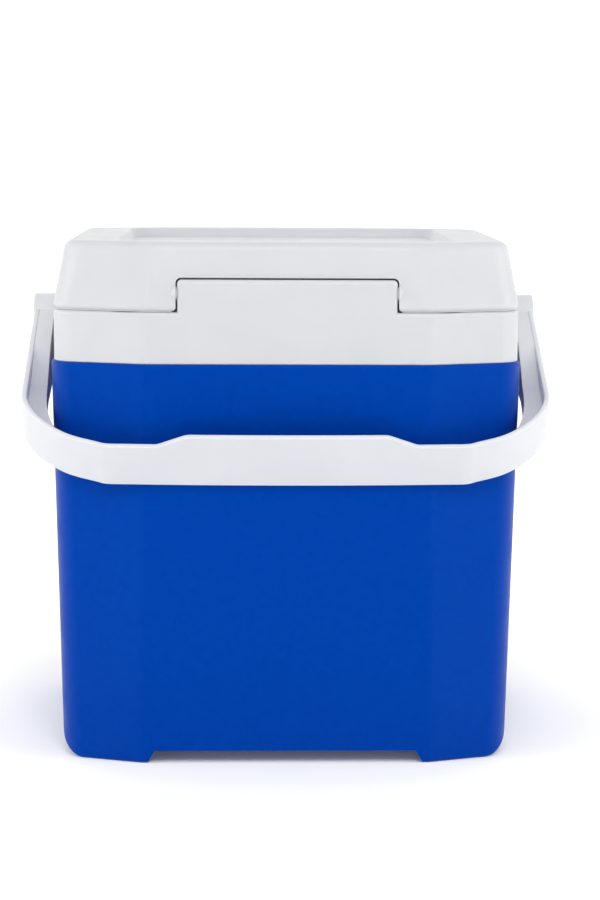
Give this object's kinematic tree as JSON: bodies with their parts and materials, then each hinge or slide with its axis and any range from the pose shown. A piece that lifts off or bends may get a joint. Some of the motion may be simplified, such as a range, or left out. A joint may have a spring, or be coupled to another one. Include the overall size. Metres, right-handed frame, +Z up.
{
  "type": "cooler chest",
  "caption": "Small hard-sided cooler chest with a foam-filled tub, a hinged lid with a recessed top, and a swinging bail handle.",
  "frame": {"origin": "on the floor, under the middle of the base", "axes": "+Z up, +X to the right when the hinge side is looked at, -Y the hinge side, +Y the side that opens"},
  "size_m": [0.4044, 0.3282, 0.4],
  "materials": {
    "blue_moulding": "fine moulded texture, satin",
    "white_moulding": "satin",
    "handle_moulding": "satin",
    "foam": "rigid cellular foam",
    "grey_plug": "matt"
  },
  "bodies": {
    "chest": {"outer_shell": "blue_moulding", "foam_port_plug": "grey_plug", "liner": "white_moulding", "collar": "white_moulding", "hinge_pin_left": "white_moulding", "hinge_pin_right": "white_moulding", "handle_stud_left": "white_moulding", "handle_stud_right": "white_moulding", "body_foam": "foam"},
    "lid": {"lid_shell": "white_moulding", "lid_liner": "white_moulding", "lid_foam": "foam"},
    "handle": {"handle": "handle_moulding"}
  },
  "joints": [
    {"name": "lid_hinge", "type": "hinge", "parent": "chest", "child": "lid", "pos_m": [0, -0.139, 0.3618], "axis": [1, 0, 0], "range_deg": [0, 105]},
    {"name": "handle_swing", "type": "hinge", "parent": "chest", "child": "handle", "pos_m": [0, 0, 0.33], "axis": [-1, 0, 0], "range_deg": [0, 239]}
  ]
}
